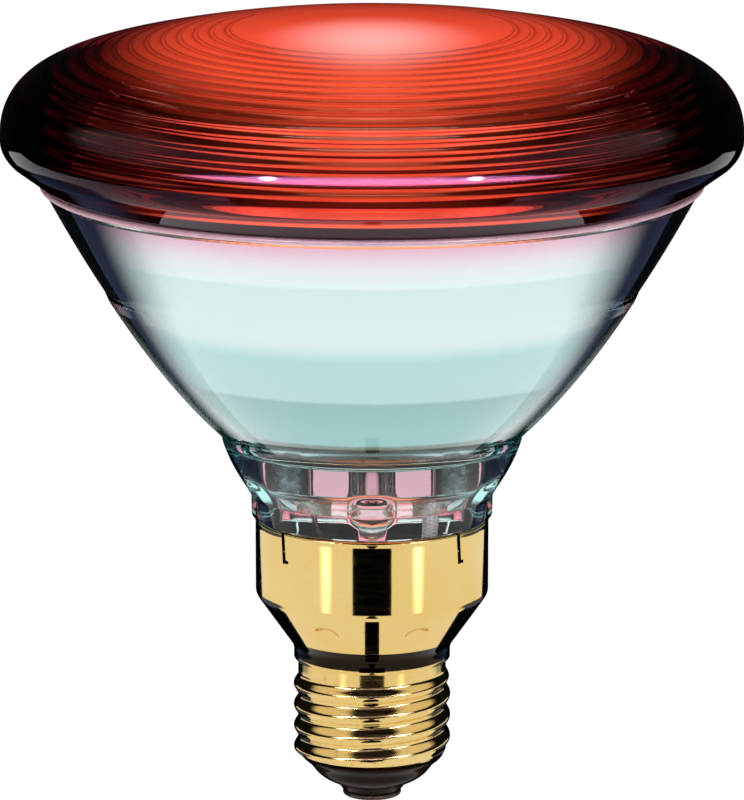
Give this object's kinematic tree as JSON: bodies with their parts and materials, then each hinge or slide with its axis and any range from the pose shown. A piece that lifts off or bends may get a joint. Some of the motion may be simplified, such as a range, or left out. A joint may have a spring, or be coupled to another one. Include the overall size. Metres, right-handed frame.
{
  "type": "infrared reflector lamp",
  "caption": "Sealed reflector heat lamp: red ringed glass lens, clear glass bowl mirrored inside, brass skirt and screw cap, filament held on wire posts.",
  "frame": {"origin": "lowest point of the lamp on its axis: the flat of the solder pip that meets a lamp holder's centre contact", "axes": "+Z along the lamp's axis, from the cap towards the lens; -Y is the front, the two lead posts lie along X"},
  "size_m": [0.122, 0.122, 0.1321],
  "materials": {
    "red_glass": "deep red pressed glass, smooth outside",
    "clear_glass": "clear pressed glass with a faint green cast",
    "seal_glass": "fused glass bead",
    "mirror_film": "bright vapour-deposited aluminium",
    "nickel": "drawn nickel-iron, satin",
    "tungsten": "drawn tungsten and molybdenum wire, grey",
    "brass": "bright rolled brass, lacquered",
    "dark_glass": "glossy near-black cap glass",
    "solder": "dull tin solder",
    "copper": "drawn copper wire",
    "glass_braid": "woven glass-fibre sleeve"
  },
  "bodies": {
    "root": {"front_lens": "red_glass", "rim_seal": "seal_glass", "reflector_bowl": "clear_glass", "mirror_coating": "mirror_film", "exhaust_tip": "clear_glass", "ferrule_left": "nickel", "ferrule_right": "nickel", "lead_post_left": "nickel", "lead_post_right": "nickel", "filament": "tungsten", "support_hook_left": "tungsten", "support_hook_middle": "tungsten", "support_hook_right": "tungsten", "glass_bridge": "clear_glass", "cap_skirt": "brass", "screw_shell": "brass", "insulator": "dark_glass", "centre_contact": "brass", "contact_solder": "solder", "side_solder": "solder", "lead_wire_centre": "copper", "lead_wire_side": "copper", "fuse_sleeve": "clear_glass", "woven_sleeve": "glass_braid"}
  },
  "joints": []
}
